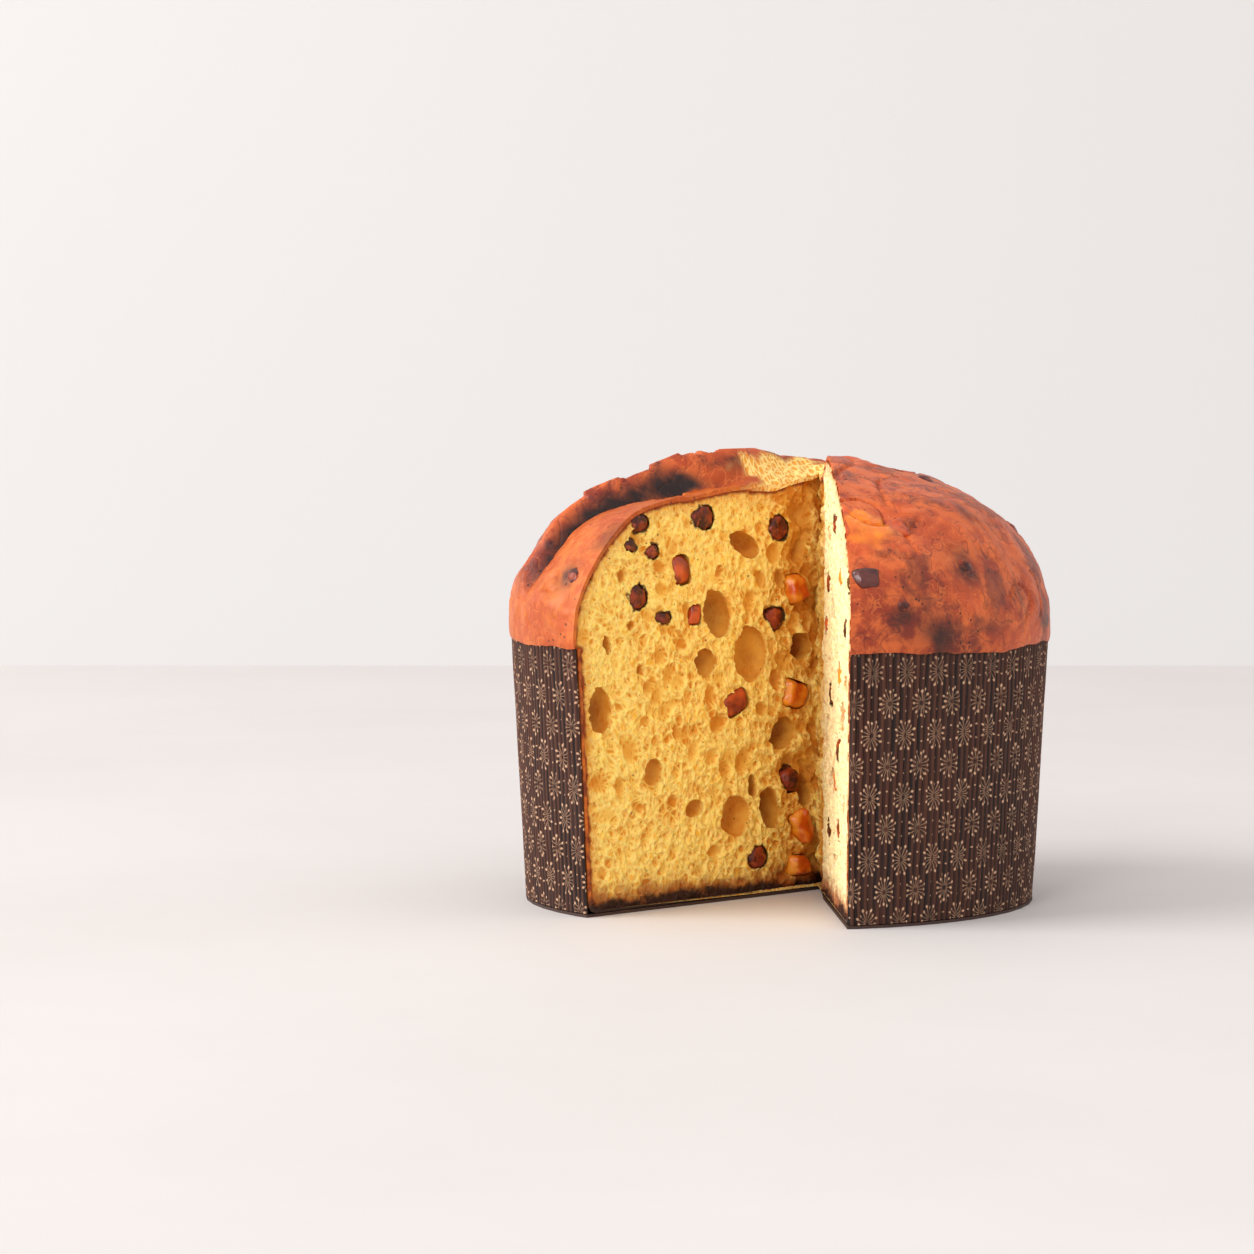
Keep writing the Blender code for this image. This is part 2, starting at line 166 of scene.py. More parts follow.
def add_object(name, data):
    thing = bpy.data.objects.new(name, data)
    bpy.context.scene.collection.objects.link(thing)
    return thing


def settle(thing):
    """Puts the object's place, turn and size in its mesh."""
    pick(thing)
    bpy.ops.object.transform_apply(location=True, rotation=True, scale=True)
    return thing


def apply_modifier(thing, kind, **settings):
    """Adds one modifier, sets it up and applies it."""
    pick(thing)
    modifier = thing.modifiers.new(kind.lower(), kind)
    for key, value in settings.items():
        setattr(modifier, key, value)
    bpy.ops.object.modifier_apply(modifier=modifier.name)


def carve(thing, tool, operation="DIFFERENCE"):
    apply_modifier(thing, "BOOLEAN", object=tool, operation=operation, solver="MANIFOLD")


def remove(*things):
    for thing in things:
        bpy.data.objects.remove(thing)


def points_of(thing):
    """The mesh's points as an array, in metres."""
    points = np.empty(len(thing.data.vertices) * 3, np.float32)
    thing.data.vertices.foreach_get("co", points)
    return points.reshape(-1, 3).astype(np.float64)


def set_points(thing, points):
    thing.data.vertices.foreach_set("co", points.astype(np.float32).ravel())
    thing.data.update()


def normals_of(thing):
    normals = np.empty(len(thing.data.vertices) * 3, np.float32)
    thing.data.vertex_normals.foreach_get("vector", normals)
    return normals.reshape(-1, 3).astype(np.float64)


def set_attribute(thing, name, values):
    """Stores one number for each point, for the materials to read."""
    attribute = thing.data.attributes.new(name, "FLOAT", "POINT")
    attribute.data.foreach_set("value", np.asarray(values, np.float32))


def outward(thing):
    """Merges doubles and turns every face to the outside."""
    pick(thing)
    bpy.ops.object.mode_set(mode="EDIT")
    bpy.ops.mesh.select_all(action="SELECT")
    bpy.ops.mesh.remove_doubles(threshold=MERGE)
    bpy.ops.mesh.normals_make_consistent(inside=False)
    bpy.ops.object.mode_set(mode="OBJECT")


def smooth(thing, angle):
    pick(thing)
    bpy.ops.object.shade_smooth_by_angle(angle=math.radians(angle))


def fuzz(points, scale, seed=0.0):
    """Smooth noise from -1 to 1 at each point; scale is in bumps for each metre."""
    shift = np.array((seed * 1.31, seed * 2.17, seed * 0.73))
    return np.array([noise.noise(p) for p in (points * scale + shift).tolist()])


def bump(value, centre, width):
    return np.exp(-(((value - centre) / width) ** 2))


def clamp(values, low=0.0, high=1.0):
    return np.minimum(np.maximum(values, low), high)


# ---------------------------------------------------------------- the crust

def smooth_outline(points, spacing):
    """Evenly spaced points on a smooth curve through the given ones."""
    given = np.array(points, float)
    ends = np.vstack((2 * given[0] - given[1], given, 2 * given[-1] - given[-2]))
    dense = []
    for i in range(1, len(ends) - 2):
        a, b, c, d = ends[i - 1:i + 3]
        for t in np.linspace(0.0, 1.0, 24, endpoint=False):
            dense.append(0.5 * (2 * b + (c - a) * t + (2 * a - 5 * b + 4 * c - d) * t * t
                                + (3 * b - a - 3 * c + d) * t ** 3))
    dense.append(given[-1])
    dense = np.array(dense)
    steps = np.linalg.norm(np.diff(dense, axis=0), axis=1)
    travelled = np.concatenate(([0.0], np.cumsum(steps)))
    wanted = np.linspace(0.0, travelled[-1], int(travelled[-1] / spacing) + 1)
    return np.column_stack([np.interp(wanted, travelled, dense[:, k]) for k in (0, 1)])


def eased(value, low, high):
    """0 below the low value and 1 above the high one, with a smooth rise between."""
    share = clamp((value - low) / (high - low))
    return share * share * (3.0 - 2.0 * share)


def score_place(points):
    """Way along the left face, distance behind it and where the score runs, in millimetres."""
    away = (points - np.array(APEX)) / MM
    along = away @ np.array(LEFT_WAY)
    score = np.maximum(0.37 * along - 4.0, 8.0) + 1.8 * fuzz(points, 45.0, 4)
    return along, away @ np.array(INTO_LEFT), score


def torn_share(along):
    """1 near the apex, where the crust has come away and bare crumb slopes up to the ear."""
    return (1.0 - eased(along, 22.0, 46.0)) * eased(along, -16.0, -8.0)


def crust_relief(points, fine):
    """How far the crust stands out from the smooth dome, in millimetres.

    The lobe in front of the score has sunk and the crust behind it stands up as an ear. Folds,
    one crater and, on the fine surface, creases and wrinkles cover the rest.
    """
    x = points[:, 0] / MM
    y = (points[:, 1] - AXIS.y) / MM
    along, behind, score = score_place(points)
    torn = torn_share(along)
    step = 1.0 - eased(behind, score - 1.4, score + 1.6)
    slope = (1.0 - 0.6 * clamp(behind / score)) * (1.0 - eased(behind, score - 1.0, score + 2.0))
    low_end = (1.0 - eased(points[:, 2] / MM, 103.0, 122.0)) * eased(along, 80.0, 95.0)
    lobe = (step + (slope - step) * torn) * eased(behind, -25.0, -5.0) * (1.0 - low_end)
    ear = 2.6 * bump(behind, score + 3.5, 3.0) * eased(along, 5.0, 25.0) * (1.0 - low_end)
    crater = -3.0 * bump(x, 36.0, 11.0) * bump(y, -66.0, 9.0)
    folds = 1.9 * fuzz(points, 38.0) + 0.8 * fuzz(points, 95.0)
    relief = ear + crater + folds * (1.0 - 0.6 * lobe) - np.interp(along, *SUNKEN_LOBE) * lobe
    near_ear = bump(behind, score + 8.0, 9.0) * eased(along, -20.0, 0.0)
    if not fine:
        return relief - 7.5 * bump(behind, score, 4.5) * eased(along, 10.0, 24.0) - 3.0 * near_ear
    open_score = clamp(0.55 + 1.8 * fuzz(points, 60.0, 21))
    open_score *= eased(along, 24.0, 42.0) * (1.0 - low_end)
    crevice = -5.5 * np.exp(-((behind - score + 0.4) / 1.5) ** 2) * open_score
    crease = np.abs(fuzz(points, 70.0, 7))
    gully = -1.5 * np.exp(-(crease / 0.05) ** 2) * clamp(fuzz(points, 22.0, 9) * 2.0 + 0.3 + near_ear)
    plate = 1.7 * near_ear * np.round(1.6 * fuzz(points, 62.0, 15))
    wrinkle = 0.45 * np.abs(fuzz(points, 170.0, 3)) + 0.25 * np.abs(fuzz(points, 360.0, 5))
    bare = torn * eased(behind, -6.0, -2.0) * (1.0 - eased(behind, score, score + 2.0))
    shreds = bare * (1.1 * fuzz(points, 170.0, 31) + 0.7 * fuzz(points, 420.0, 33))
    return relief + crevice + gully * (1.0 - bare) + plate * (1.0 - bare) + wrinkle + shreds


def lift_crust(thing, fine):
    """Moves the dome's surface by its relief, easing in above the rim, and unevens the lip."""
    points = points_of(thing)
    above = points[:, 2] - CASE_HEIGHT
    dome = above > -0.2 * MM
    moved = points[dome]
    centre = np.array((AXIS.x, AXIS.y, 0.0))
    outwards = (moved - centre) * (1.0, 1.0, 0.0)
    outwards[:, 2] = np.maximum(above[dome], 0.0) * 1.3
    outwards /= np.linalg.norm(outwards, axis=1)[:, None]
    ease = clamp(above[dome] / (14.0 * MM))
    limit = 1.2 + (TOP - moved[:, 2]) / MM * 0.9
    lift = np.minimum(crust_relief(moved, fine), limit) * ease
    moved = moved + outwards * (lift * MM)[:, None]
    bearing = np.column_stack((moved[:, 0], moved[:, 1] - AXIS.y))
    widest = np.linalg.norm(bearing, axis=1)
    shrink = np.minimum(1.0, (RIM_RADIUS + 1.0 * MM) / np.maximum(widest, 1e-6))
    moved[:, 0] *= shrink
    moved[:, 1] = AXIS.y + bearing[:, 1] * shrink
    ring = np.column_stack((bearing / np.maximum(widest, 1e-6)[:, None], np.zeros(len(moved))))
    sag = 1.1 * fuzz(ring, 3.0, 2) + 0.9 * fuzz(ring, 9.0, 6) + 0.35 * fuzz(ring, 30.0, 6)
    moved[:, 2] += (sag - 0.5) * MM * np.exp(-np.maximum(above[dome], 0.0) / (5.0 * MM))
    points[dome] = moved
    set_points(thing, points)


def spun(name, outline, steps):
    """A surface turned about the Z axis, from radii and heights that run from top to base."""
    mesh = bpy.data.meshes.new(name)
    edges = [(k, k + 1) for k in range(len(outline) - 1)]
    mesh.from_pydata([(radius, 0.0, height) for radius, height in outline], edges, [])
    thing = add_object(name, mesh)
    apply_modifier(thing, "SCREW", steps=steps, render_steps=steps, use_merge_vertices=True,
                   merge_threshold=MERGE, use_smooth_shade=True)
    outward(thing)
    return thing


def loaf_body(name, inset, spacing, steps, fine):
    """The whole loaf before it was cut, with its surface set in by some distance."""
    dome = smooth_outline(DOME_OUTLINE, spacing / MM)[::-1]
    shrink = 1.0 - inset / RIM_RADIUS
    rim = RIM_RADIUS - FLUTE_DEPTH - PAPER - 0.2 * MM - inset
    foot = BASE_RADIUS - FLUTE_DEPTH - PAPER - 0.2 * MM - inset
    floor = FLOOR + inset * 0.7
    profile = [(r * MM * shrink, CASE_HEIGHT + z * MM - inset * z / 65.0) for r, z in dome]
    profile[0] = (0.0, profile[0][1])
    profile += [(rim, CASE_HEIGHT)]
    profile += [
        (foot + (rim - foot) * k / 6.0, floor + (CASE_HEIGHT - floor) * k / 6.0)
        for k in range(5, 0, -1)
    ]
    profile += [(foot, floor + 2.5 * MM), (foot - 1.0 * MM, floor + 0.7 * MM), (foot - 3.0 * MM, floor)]
    profile += [(foot * 0.6, floor), (0.0, floor)]
    body = spun(name, profile, steps)
    body.location = AXIS
    settle(body)
    lift_crust(body, fine)
    return body


def plane_grid(name, way, into, start, length, low, high, step):
    """A fine grid that stands on a cut face, with its front towards the wedge."""
    columns = int(round(length / step))
    rows = int(round((high - low) / step))
    deselect()
    bpy.ops.mesh.primitive_grid_add(x_subdivisions=columns, y_subdivisions=rows, size=1.0)
    grid = bpy.context.object
    grid.name = name
    grid.data.name = name
    middle = APEX + way * (start + length / 2.0) + Vector((0.0, 0.0, (low + high) / 2.0))
    turn = Matrix((way, Vector((0, 0, 1)), -into)).transposed().to_4x4()
    grid.matrix_world = Matrix.Translation(middle) @ turn @ Matrix.Diagonal((length, high - low, 1.0, 1.0))
    return settle(grid)


def along_and_height(points, way):
    """Each point's way along a cut face from the apex, and its height."""
    away = points - np.array(APEX)
    return away @ np.array(way), points[:, 2]


def close_behind(thing, into, thickness):
    """Gives a grid its sides and a flat back, so that it becomes a solid slab."""
    pick(thing)
    bpy.ops.object.mode_set(mode="EDIT")
    bpy.ops.mesh.select_all(action="SELECT")
    bpy.ops.mesh.region_to_loop()
    bpy.ops.mesh.extrude_edges_move(TRANSFORM_OT_translate={"value": into * thickness})
    bpy.ops.mesh.edge_face_add()
    bpy.ops.mesh.select_all(action="SELECT")
    bpy.ops.mesh.normals_make_consistent(inside=False)
    bpy.ops.object.mode_set(mode="OBJECT")


# ---------------------------------------------------------------- the crumb

class Pores:
    """A raster of one cut face on which round hollows are pressed, the deepest one winning."""

    def __init__(self, columns, rows, step):
        self.depth = np.zeros((rows, columns))
        self.step = step

    def press(self, u, z, radius, stretch, turn, deep):
        """Presses one elliptical bowl; u, z and radius are in metres from the raster's corner."""
        reach = int(radius * max(stretch, 1.0) / self.step) + 2
        i, j = int(u / self.step), int(z / self.step)
        i0, i1 = max(i - reach, 0), min(i + reach + 1, self.depth.shape[1])
        j0, j1 = max(j - reach, 0), min(j + reach + 1, self.depth.shape[0])
        if i0 >= i1 or j0 >= j1:
            return
        du, dz = np.meshgrid(np.arange(i0, i1) * self.step - u, np.arange(j0, j1) * self.step - z)
        c, s = math.cos(turn), math.sin(turn)
        far = ((du * c + dz * s) / (radius * stretch)) ** 2 + ((dz * c - du * s) / radius) ** 2
        bowl = deep * np.sqrt(clamp(1.0 - far))
        window = self.depth[j0:j1, i0:i1]
        np.maximum(window, bowl, out=window)


PORE_SIZES = (
    # count, smallest and largest radius in millimetres, depth for its radius
    (90, 2.0, 3.6, 0.6),
    (700, 1.2, 2.2, 0.7),
    (3600, 0.75, 1.3, 0.8),
    (3000, 0.45, 0.75, 1.0),
)


def press_pores(start, low, length, height, bowls, seed):
    """How deep the pores of one face go at each point of its raster, in metres."""
    draw = random.Random(seed)
    pores = Pores(int(round(length / STEP)) + 1, int(round(height / STEP)) + 1, STEP)
    for count, least, most, deep in PORE_SIZES:
        for _ in range(count):
            u, z = draw.uniform(0.0, length), draw.uniform(0.0, height)
            radius = least + (most - least) * draw.random() ** 1.6
            flow = noise.noise(Vector((u * 22.0, z * 22.0, seed * 3.1))) * 2.2 + 1.2
            stretch = 1.0 + 0.9 * draw.random() ** 2
            turn = flow + draw.gauss(0.0, 0.5)
            pores.press(u, z, radius * MM, stretch, turn, radius * deep * draw.uniform(0.6, 1.1) * MM)
    for along, level, wide, tall, deep, tilt in bowls:
        turn = math.radians(-tilt)
        pores.press(
            along * MM - start, level * MM - low, tall / 2.0 * MM, wide / tall, turn, deep * MM)
    return pores.depth


def lump(size, middle, turn, seed):
    """A smooth uneven ball, for cutting an air hole."""
    deselect()
    bpy.ops.mesh.primitive_ico_sphere_add(subdivisions=3, radius=0.5)
    ball = bpy.context.object
    points = points_of(ball)
    swell = 1.0 + 0.16 * fuzz(points, 2.6, seed) + 0.08 * fuzz(points, 6.0, seed + 3)
    set_points(ball, points * swell[:, None])
    ball.matrix_world = Matrix.Translation(middle) @ turn.to_4x4() @ Matrix.Diagonal((*size, 1.0))
    return settle(ball)


def face_turn(way, tilt):
    heading = math.atan2(way.y, way.x)
    return Euler((0, 0, heading)).to_matrix() @ Euler((0, math.radians(tilt), 0)).to_matrix()


def fruit_beds(into):
    """Bodies slightly larger than the fruit near one cut face, joined, to cut their beds."""
    beds = []
    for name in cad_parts:
        if not name.startswith(FRUIT):
            continue
        low, high = (Vector(corner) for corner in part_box(name))
        middle = (low + high) / 2.0
        if abs((middle - APEX).dot(into)) > 12.0 * MM:
            continue
        beds.append(copy_node(name, name + "_bed", 0.7 * MM, 0.45 * MM))
    return join(beds)


def copy_of(thing):
    return add_object(thing.name + "_twin", thing.data.copy())


def join(things):
    deselect()
    for thing in things:
        thing.select_set(True)
    bpy.context.view_layer.objects.active = things[0]
    bpy.ops.object.join()
    return things[0]


def copy_node(node, name, voxel, swell):
    """A finer copy of a CAD node, rounded and swollen a little."""
    source = bpy.data.objects[node]
    thing = add_object(name, source.data.copy())
    thing.matrix_world = source.matrix_world
    thing.data.materials.clear()
    settle(thing)
    outward(thing)
    apply_modifier(thing, "REMESH", mode="VOXEL", voxel_size=voxel, adaptivity=0.0)
    apply_modifier(thing, "SMOOTH", factor=0.6, iterations=6)
    points = points_of(thing)
    set_points(thing, points + normals_of(thing) * swell)
    return thing


def crumb_slab(name, way, into, length, caves, bowls, seed, core):
    """The crumb behind one cut face: pores pressed in its front, holes and fruit beds cut."""
    start, low, high = -14.0 * MM, -2.0 * MM, TOP + 5.0 * MM
    slab = plane_grid(name, way, into, start, length - start, low, high, STEP)
    points = points_of(slab)
    u, z = along_and_height(points, way)
    columns = np.rint((u - start) / STEP).astype(int)
    rows = np.rint((z - low) / STEP).astype(int)
    pores = press_pores(start, low, length - start, high - low, bowls, seed)
    rows = np.minimum(rows, pores.shape[0] - 1)
    columns = np.minimum(columns, pores.shape[1] - 1)
    depth = pores[rows, columns]
    torn = clamp((26.0 * MM - u) / (16.0 * MM))
    ragged = torn * (1.2 + 2.6 * fuzz(points, 95.0, seed) + 1.5 * fuzz(points, 240.0, seed + 1)) * MM
    fibre = 0.14 * MM * fuzz(points * (1.0, 1.0, 0.45), 900.0, seed + 2)
    points += np.array(into) * (depth + ragged + fibre)[:, None]
    set_points(slab, points)
    close_behind(slab, into, SLAB)
    carve(slab, core, "INTERSECT")
    for number, (along, height, wide, tall, deep, tilt) in enumerate(caves):
        middle = APEX + way * along * MM + Vector((0, 0, height * MM)) + into * (deep * 0.18 * MM)
        size = (wide * MM, deep * 1.5 * MM, tall * MM)
        ball = lump(size, middle, face_turn(way, tilt), seed + number)
        carve(slab, ball)
        remove(ball)
    beds = fruit_beds(into)
    carve(slab, beds)
    remove(beds)
    return slab


def mark_crumb(slab, into, core, raisins):
    """Stores how deep each point lies behind the cut, and how far from the crust and a raisin."""
    points = points_of(slab)
    set_attribute(slab, "pit", (points - np.array(APEX)) @ np.array(into) / MM)
    for name, tree in (("from_crust", core), ("from_raisin", raisins)):
        far = [tree.find_nearest(Vector(p), 20.0 * MM)[3] for p in points.tolist()]
        set_attribute(slab, name, np.array([0.02 if f is None else f for f in far]) / MM)


# ---------------------------------------------------------------- shader expressions

class Flow:
    """A shader socket that can be used in Python expressions."""

    def __init__(self, tree, socket):
        self.tree = tree
        self.socket = socket

    def node(self, kind, values, out=0, **settings):
        """Adds a node: its settings first, then the values or links of its sockets."""
        made = self.tree.nodes.new(kind)
        for key, value in settings.items():
            setattr(made, key, value)
        for key, value in values.items():
            if isinstance(value, Flow):
                self.tree.links.new(value.socket, made.inputs[key])
            elif value is not None:
                made.inputs[key].default_value = value
        return Flow(self.tree, made.outputs[out])

    def maths(self, operation, first, second=None):
        return self.node("ShaderNodeMath", {0: first, 1: second}, operation=operation)

    def __add__(self, other):
        return self.maths("ADD", self, other)

    __radd__ = __add__

    def __sub__(self, other):
        return self.maths("SUBTRACT", self, other)

    def __rsub__(self, other):
        return self.maths("SUBTRACT", other, self)

    def __mul__(self, other):
        return self.maths("MULTIPLY", self, other)

    __rmul__ = __mul__

    def __truediv__(self, other):
        return self.maths("DIVIDE", self, other)

    def __abs__(self):
        return self.maths("ABSOLUTE", self)

    def least(self, other):
        return self.maths("MINIMUM", self, other)

    def most(self, other):
        return self.maths("MAXIMUM", self, other)

    def below(self, limit, soft):
        """1 where this is under the limit, fading to 0 over the soft width."""
        return self.node("ShaderNodeMapRange", {
            "Value": self, "From Min": limit - soft, "From Max": limit + soft,
            "To Min": 1.0, "To Max": 0.0}, interpolation_type="SMOOTHSTEP")

    def over(self, limit, soft):
        return 1.0 - self.below(limit, soft)

    def attribute(self, name):
        return self.node("ShaderNodeAttribute", {}, 2, attribute_name=name)

    def axis(self, number):
        """One of these coordinates: 0 for X, 1 for Y, 2 for Z."""
        return self.node("ShaderNodeSeparateXYZ", {0: self}, number)

    def stretched(self, *sizes):
        return self.node("ShaderNodeMapping", {0: self, 3: sizes})

    def noise(self, scale, detail=2.0, rough=0.5):
        """Noise from 0 to 1 on these coordinates; scale is in bumps for each metre."""
        return self.node("ShaderNodeTexNoise", {
            "Vector": self, "Scale": scale, "Detail": detail, "Roughness": rough})

    def cells(self, scale, feature="F1"):
        return self.node("ShaderNodeTexVoronoi", {"Vector": self, "Scale": scale}, feature=feature)

    def warped(self, scale, reach):
        """These coordinates pushed about by noise, so that a pattern on them bends."""
        push = self.node("ShaderNodeTexNoise", {"Vector": self, "Scale": scale, "Detail": 1.0}, 1)
        level = self.node("ShaderNodeVectorMath", {0: push, 1: (0.5, 0.5, 0.5)}, operation="SUBTRACT")
        return self.node("ShaderNodeVectorMath", {0: level, 1: (reach, reach, reach), 2: self},
                         operation="MULTIPLY_ADD")

    def mixed(self, first, second):
        """This as a factor between two colours."""
        first = (*first, 1.0) if isinstance(first, tuple) else first
        second = (*second, 1.0) if isinstance(second, tuple) else second
        return self.node("ShaderNodeMix", {0: self, 6: first, 7: second}, 2, data_type="RGBA")


class Finish(Flow):
    """One material, as the tree that its pattern is written in."""

    def __init__(self, name, **constants):
        self.material = bpy.data.materials.new(name)
        self.material.use_nodes = True
        tree = self.material.node_tree
        self.shader = tree.nodes["Principled BSDF"]
        for key, value in constants.items():
            self.shader.inputs[key.replace("_", " ")].default_value = value
        coordinates = tree.nodes.new("ShaderNodeTexCoord")
        super().__init__(tree, coordinates.outputs["Object"])

    def wear(self, colour, roughness=None, height=None, strength=0.0, distance=0.0):
        """Connects the finished pattern to the shader."""
        links = self.tree.links
        links.new(colour.socket, self.shader.inputs["Base Color"])
        if roughness is not None:
            links.new(roughness.socket, self.shader.inputs["Roughness"])
        if height is not None:
            relief = self.node("ShaderNodeBump", {
                "Strength": strength, "Distance": distance, "Height": height})
            links.new(relief.socket, self.shader.inputs["Normal"])
        return self.material


def linear(red, green, blue):
    """A screen colour, 0 to 255, as linear light."""
    shares = (value / 255.0 for value in (red, green, blue))
    return tuple(((c + 0.055) / 1.055) ** 2.4 if c > 0.04 else c / 12.92 for c in shares)


def crumb_finish(name, painted_light):
    """Golden egg-rich crumb: a pale web of strands, painted shade deepening into pores and holes, painted
    highlights on pore rims, and brown by the crust; painted_light, when given, pales it.
    """
    finish = Finish(name, Subsurface_Weight=0.15, Subsurface_Scale=0.002, Specular_IOR_Level=0.25)
    pit = finish.attribute("pit")
    edge = finish.attribute("from_crust")
    flow = finish.warped(60.0, 9.0 * MM).warped(330.0, 1.6 * MM)
    coarse = flow.cells(250.0, "DISTANCE_TO_EDGE")
    fine = flow.stretched(1.0, 1.0, 0.6).cells(520.0, "DISTANCE_TO_EDGE")
    region = finish.noise(70.0, 2.0)
    fine_strands = fine.below(0.15, 0.11) * (0.3 + 0.6 * region.over(0.45, 0.15))
    strands = coarse.below(0.10, 0.07).most(fine_strands)
    shallow = pit.below(1.3, 1.0)
    web = strands * (0.10 + 0.90 * shallow)
    # Painted shade: the crumb turns darker and warmer the deeper a point lies behind the cut, in the pores
    # and most of all in the large holes
    shade = pit.over(0.45, 0.5).mixed(linear(242, 174, 50), linear(214, 130, 24))
    hollow_shade = finish.noise(130.0, 2.0).over(0.5, 0.25).mixed(linear(194, 111, 20), linear(216, 144, 42))
    shade = pit.over(2.2, 1.4).mixed(shade, hollow_shade)
    shade = pit.over(7.0, 3.0).mixed(shade, linear(150, 72, 12))
    shade = (region.over(0.55, 0.2) * 0.3).mixed(shade, linear(250, 202, 84))
    shade = web.mixed(shade, linear(255, 219, 112))
    # Painted highlight: a pale band round the mouth of each pore
    rim = pit.below(0.5, 0.4) * pit.over(0.04, 0.06)
    shade = (rim * 0.4).mixed(shade, linear(255, 228, 146))
    # Painted light: where a share is given, the crumb is paled away from the apex and on its shallow
    # parts, standing for the brighter light on the right face
    if painted_light:
        painted_light_mask = (finish.axis(1) / MM).below(APEX.y / MM - 16.0, 8.0) * pit.below(2.0, 1.5)
        shade = (painted_light_mask * painted_light).mixed(shade, linear(255, 241, 200))
    # Painted shade: tiny pinholes are darkened for the shade inside them; the same mask also dents the
    # bump
    pinholes = flow.cells(300.0).below(0.085, 0.03) * finish.noise(120.0).over(0.5, 0.05)
    shade = (pinholes * 0.85).mixed(shade, linear(96, 44, 8))
    shade = (edge.below(3.0, 3.4) * 0.55).mixed(shade, linear(206, 112, 24))
    ragged = finish.noise(500.0, 3.0) - 0.5
    rind = (edge + ragged * 1.6).below(0.9, 0.7)
    shade = rind.mixed(shade, linear(140, 58, 14))
    height = finish.axis(2) / MM
    toasted = (height + (finish.noise(160.0, 3.0) - 0.5) * 14.0).below(9.0, 4.0)
    shade = (toasted * 0.8).mixed(shade, linear(150, 66, 14))
    # Near black in a ragged band along the bottom of the cut face
    dark_bottom_band = (height + (finish.noise(110.0, 4.0) - 0.5) * 12.0).below(4.6, 1.6)
    shade = (dark_bottom_band * 0.95).mixed(shade, linear(36, 15, 8))
    # A dark ragged ring of crumb round each raisin: part raisin stain, part painted shade of the gap round
    # the raisin
    raisin_stain_and_shade = (finish.attribute("from_raisin") + ragged * 2.4).below(0.75, 0.35)
    shade = (raisin_stain_and_shade * 0.94).mixed(shade, linear(50, 18, 8))
    relief = coarse.least(0.35) * -1.5 - fine.least(0.3) * 0.9 - pinholes
    return finish.wear(shade, 0.62 + 0.15 * region, relief * (0.2 + 0.8 * shallow), 0.7, 0.0012)


def crust_finish():
    """Browned crust: orange tan on the sunken lobe, chestnut elsewhere, charred and darkened with painted
    shade in the score, with small pits darkened as painted shade.
    """
    finish = Finish("crust", Coat_Weight=0.12, Coat_Roughness=0.3, Specular_IOR_Level=0.35)
    pale = finish.attribute("pale")
    bare = finish.attribute("bare")
    char_and_crevice_shade = finish.attribute("char_and_crevice_shade")
    glaze = finish.attribute("glaze")
    # Near black, for char and for painted shade in pits and crevices
    burnt_and_shade_colour = linear(34, 18, 16)
    patch = finish.noise(26.0, 4.0, 0.6)
    mottle = finish.noise(110.0, 4.0, 0.65)
    skin = patch.over(0.5, 0.12).mixed(linear(196, 80, 30), linear(142, 46, 18))
    skin = (mottle.over(0.52, 0.1) * 0.75).mixed(skin, linear(222, 106, 44))
    skin = (finish.noise(60.0, 4.0, 0.6).over(0.57, 0.06) * 0.6).mixed(skin, linear(84, 30, 20))
    tan = mottle.over(0.5, 0.14).mixed(linear(184, 78, 18), linear(206, 108, 38))
    tan = (patch.over(0.52, 0.1) * 0.5).mixed(tan, linear(160, 58, 12))
    shade = pale.mixed(skin, tan)
    flow = finish.warped(45.0, 16.0 * MM)
    folds = abs(flow.noise(120.0, 1.0) - 0.5)
    creases = abs(flow.warped(150.0, 4.0 * MM).noise(210.0, 1.5) - 0.5)
    dark_lines = folds.below(0.012, 0.011) * finish.noise(55.0).over(0.46, 0.08)
    shade = (dark_lines * (1.0 - pale * 0.7) * 0.5).mixed(shade, linear(66, 22, 12))
    bright_lines = creases.below(0.014, 0.012) * finish.noise(40.0).over(0.47, 0.08)
    shade = (bright_lines * 0.45).mixed(shade, linear(232, 122, 58))
    # Painted shade: small pits in the crust go near black; the same mask sinks them in the bump
    pits = finish.cells(300.0).below(0.12, 0.04) * finish.noise(60.0).over(0.48, 0.08)
    shade = (pits * 0.9).mixed(shade, burnt_and_shade_colour)
    cubes = finish.node("ShaderNodeTexVoronoi", {"Vector": finish, "Scale": 150.0}, 1).axis(0)
    syrup = cubes.over(0.55, 0.05).mixed(linear(244, 132, 22), linear(150, 34, 16))
    syrup = (finish.noise(190.0, 3.0).over(0.5, 0.14) * 0.5).mixed(syrup, linear(216, 88, 16))
    shade = glaze.mixed(shade, syrup)
    # Char, with painted shade in the score crevice and the ear's creases, goes near black
    shade = char_and_crevice_shade.mixed(shade, burnt_and_shade_colour)
    ragged = finish.noise(500.0, 3.0) - 0.5
    height = finish.axis(2) / MM
    inside = (height + ragged * 2.0).below(CASE_HEIGHT / MM - 1.5, 0.8)
    rind = finish.noise(200.0, 3.0).over(0.5, 0.15).mixed(linear(120, 44, 12), linear(204, 104, 30))
    rind = (height + ragged * 6.0).below(6.0, 3.0).mixed(rind, linear(40, 17, 9))
    shade = inside.mixed(shade, rind)
    fibres = flow.cells(520.0, "DISTANCE_TO_EDGE").below(0.14, 0.1)
    crumb = fibres.mixed(linear(236, 160, 52), linear(255, 222, 136))
    shade = bare.mixed(shade, crumb)
    relief = mottle * 0.5 - pits * 0.9 + folds.least(0.06) * 6.0 + creases.least(0.04) * 4.0
    relief = relief + fibres * bare * 0.6 + ragged * inside
    roughness = 0.42 + 0.25 * patch + bare * 0.2 - glaze * 0.3
    return finish.wear(shade, roughness, relief, 0.45, 0.0009)


